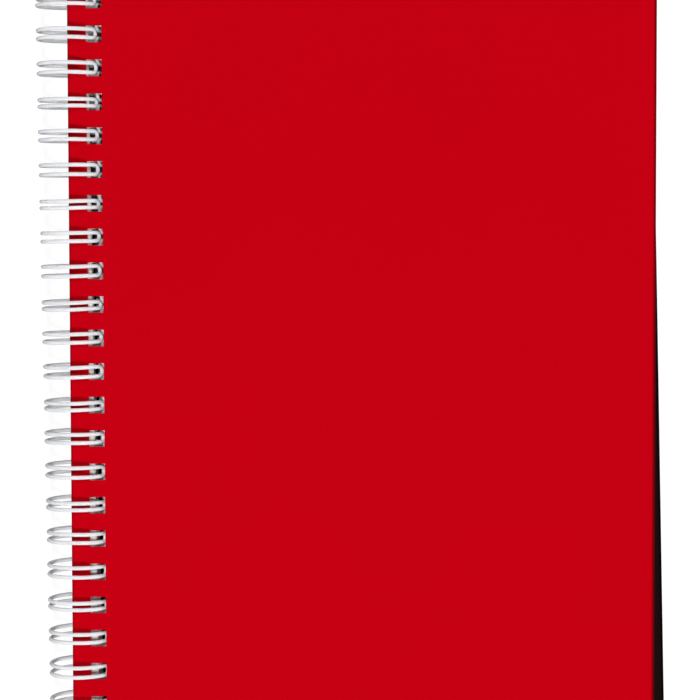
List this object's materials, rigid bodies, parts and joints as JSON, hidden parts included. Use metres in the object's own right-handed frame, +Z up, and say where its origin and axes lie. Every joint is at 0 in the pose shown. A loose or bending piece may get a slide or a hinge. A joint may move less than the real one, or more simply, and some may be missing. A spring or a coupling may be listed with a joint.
{
  "type": "wire-bound notebook",
  "caption": "Small notebook with a red front cover, a black back cover and white sheets on a white twin-loop wire; every leaf turns over about the wire.",
  "frame": {"origin": "middle of the underside of the notebook's box: z = 0 is the table it lies on", "axes": "+Y along the spine, +X from the spine to the fore-edge, +Z up through the front cover"},
  "size_m": [0.158, 0.213, 0.0167],
  "materials": {
    "red_cover": "smooth gloss polypropylene, bright red",
    "black_cover": "smooth gloss polypropylene, black",
    "paper": "uncoated white writing paper",
    "coated_wire": "glossy white nylon coating on steel wire"
  },
  "bodies": {
    "back_cover": {"back_cover": "black_cover"},
    "sheets_01_to_03": {"sheet_01": "paper", "sheet_02": "paper", "sheet_03": "paper"},
    "sheets_04_to_06": {"sheet_04": "paper", "sheet_05": "paper", "sheet_06": "paper"},
    "sheets_07_to_09": {"sheet_07": "paper", "sheet_08": "paper", "sheet_09": "paper"},
    "sheets_10_to_12": {"sheet_10": "paper", "sheet_11": "paper", "sheet_12": "paper"},
    "sheets_13_to_15": {"sheet_13": "paper", "sheet_14": "paper", "sheet_15": "paper"},
    "sheets_16_to_18": {"sheet_16": "paper", "sheet_17": "paper", "sheet_18": "paper"},
    "sheets_19_to_21": {"sheet_19": "paper", "sheet_20": "paper", "sheet_21": "paper"},
    "sheets_22_to_24": {"sheet_22": "paper", "sheet_23": "paper", "sheet_24": "paper"},
    "sheets_25_to_27": {"sheet_25": "paper", "sheet_26": "paper", "sheet_27": "paper"},
    "sheets_28_to_30": {"sheet_28": "paper", "sheet_29": "paper", "sheet_30": "paper"},
    "sheets_31_to_33": {"sheet_31": "paper", "sheet_32": "paper", "sheet_33": "paper"},
    "sheets_34_to_36": {"sheet_34": "paper", "sheet_35": "paper", "sheet_36": "paper"},
    "sheets_37_to_39": {"sheet_37": "paper", "sheet_38": "paper", "sheet_39": "paper"},
    "sheets_40_to_42": {"sheet_40": "paper", "sheet_41": "paper", "sheet_42": "paper"},
    "sheets_43_to_45": {"sheet_43": "paper", "sheet_44": "paper", "sheet_45": "paper"},
    "sheets_46_to_48": {"sheet_46": "paper", "sheet_47": "paper", "sheet_48": "paper"},
    "sheets_49_to_51": {"sheet_49": "paper", "sheet_50": "paper", "sheet_51": "paper"},
    "sheets_52_to_54": {"sheet_52": "paper", "sheet_53": "paper", "sheet_54": "paper"},
    "sheets_55_to_57": {"sheet_55": "paper", "sheet_56": "paper", "sheet_57": "paper"},
    "binding": {"binding_wire": "coated_wire"},
    "front_cover": {"front_cover": "red_cover"}
  },
  "joints": [
    {"name": "turn_sheets_01_to_03", "type": "hinge", "parent": "back_cover", "child": "sheets_01_to_03", "pos_m": [-0.07066, 0, 0.00835], "axis": [0, -1, 0], "range_deg": [0, 180]},
    {"name": "turn_sheets_04_to_06", "type": "hinge", "parent": "sheets_01_to_03", "child": "sheets_04_to_06", "pos_m": [-0.07066, 0, 0.00835], "axis": [0, -1, 0], "range_deg": [0, 180]},
    {"name": "turn_sheets_07_to_09", "type": "hinge", "parent": "sheets_04_to_06", "child": "sheets_07_to_09", "pos_m": [-0.07066, 0, 0.00835], "axis": [0, -1, 0], "range_deg": [0, 180]},
    {"name": "turn_sheets_10_to_12", "type": "hinge", "parent": "sheets_07_to_09", "child": "sheets_10_to_12", "pos_m": [-0.07066, 0, 0.00835], "axis": [0, -1, 0], "range_deg": [0, 180]},
    {"name": "turn_sheets_13_to_15", "type": "hinge", "parent": "sheets_10_to_12", "child": "sheets_13_to_15", "pos_m": [-0.07066, 0, 0.00835], "axis": [0, -1, 0], "range_deg": [0, 180]},
    {"name": "turn_sheets_16_to_18", "type": "hinge", "parent": "sheets_13_to_15", "child": "sheets_16_to_18", "pos_m": [-0.07066, 0, 0.00835], "axis": [0, -1, 0], "range_deg": [0, 180]},
    {"name": "turn_sheets_19_to_21", "type": "hinge", "parent": "sheets_16_to_18", "child": "sheets_19_to_21", "pos_m": [-0.07066, 0, 0.00835], "axis": [0, -1, 0], "range_deg": [0, 180]},
    {"name": "turn_sheets_22_to_24", "type": "hinge", "parent": "sheets_19_to_21", "child": "sheets_22_to_24", "pos_m": [-0.07066, 0, 0.00835], "axis": [0, -1, 0], "range_deg": [0, 180]},
    {"name": "turn_sheets_25_to_27", "type": "hinge", "parent": "sheets_22_to_24", "child": "sheets_25_to_27", "pos_m": [-0.07066, 0, 0.00835], "axis": [0, -1, 0], "range_deg": [0, 180]},
    {"name": "turn_sheets_28_to_30", "type": "hinge", "parent": "sheets_25_to_27", "child": "sheets_28_to_30", "pos_m": [-0.07066, 0, 0.00835], "axis": [0, -1, 0], "range_deg": [0, 180]},
    {"name": "turn_sheets_31_to_33", "type": "hinge", "parent": "sheets_28_to_30", "child": "sheets_31_to_33", "pos_m": [-0.07066, 0, 0.00835], "axis": [0, -1, 0], "range_deg": [0, 180]},
    {"name": "turn_sheets_34_to_36", "type": "hinge", "parent": "sheets_31_to_33", "child": "sheets_34_to_36", "pos_m": [-0.07066, 0, 0.00835], "axis": [0, -1, 0], "range_deg": [0, 180]},
    {"name": "turn_sheets_37_to_39", "type": "hinge", "parent": "sheets_34_to_36", "child": "sheets_37_to_39", "pos_m": [-0.07066, 0, 0.00835], "axis": [0, -1, 0], "range_deg": [0, 180]},
    {"name": "turn_sheets_40_to_42", "type": "hinge", "parent": "sheets_37_to_39", "child": "sheets_40_to_42", "pos_m": [-0.07066, 0, 0.00835], "axis": [0, -1, 0], "range_deg": [0, 180]},
    {"name": "turn_sheets_43_to_45", "type": "hinge", "parent": "sheets_40_to_42", "child": "sheets_43_to_45", "pos_m": [-0.07066, 0, 0.00835], "axis": [0, -1, 0], "range_deg": [0, 180]},
    {"name": "turn_sheets_46_to_48", "type": "hinge", "parent": "sheets_43_to_45", "child": "sheets_46_to_48", "pos_m": [-0.07066, 0, 0.00835], "axis": [0, -1, 0], "range_deg": [0, 180]},
    {"name": "turn_sheets_49_to_51", "type": "hinge", "parent": "sheets_46_to_48", "child": "sheets_49_to_51", "pos_m": [-0.07066, 0, 0.00835], "axis": [0, -1, 0], "range_deg": [0, 180]},
    {"name": "turn_sheets_52_to_54", "type": "hinge", "parent": "sheets_49_to_51", "child": "sheets_52_to_54", "pos_m": [-0.07066, 0, 0.00835], "axis": [0, -1, 0], "range_deg": [0, 180]},
    {"name": "turn_sheets_55_to_57", "type": "hinge", "parent": "sheets_52_to_54", "child": "sheets_55_to_57", "pos_m": [-0.07066, 0, 0.00835], "axis": [0, -1, 0], "range_deg": [0, 180]},
    {"name": "turn_binding", "type": "hinge", "parent": "sheets_55_to_57", "child": "binding", "pos_m": [-0.07066, 0, 0.00835], "axis": [0, -1, 0], "range_deg": [0, 180]},
    {"name": "turn_front_cover", "type": "hinge", "parent": "binding", "child": "front_cover", "pos_m": [-0.07066, 0, 0.00835], "axis": [0, -1, 0], "range_deg": [0, 180]}
  ]
}
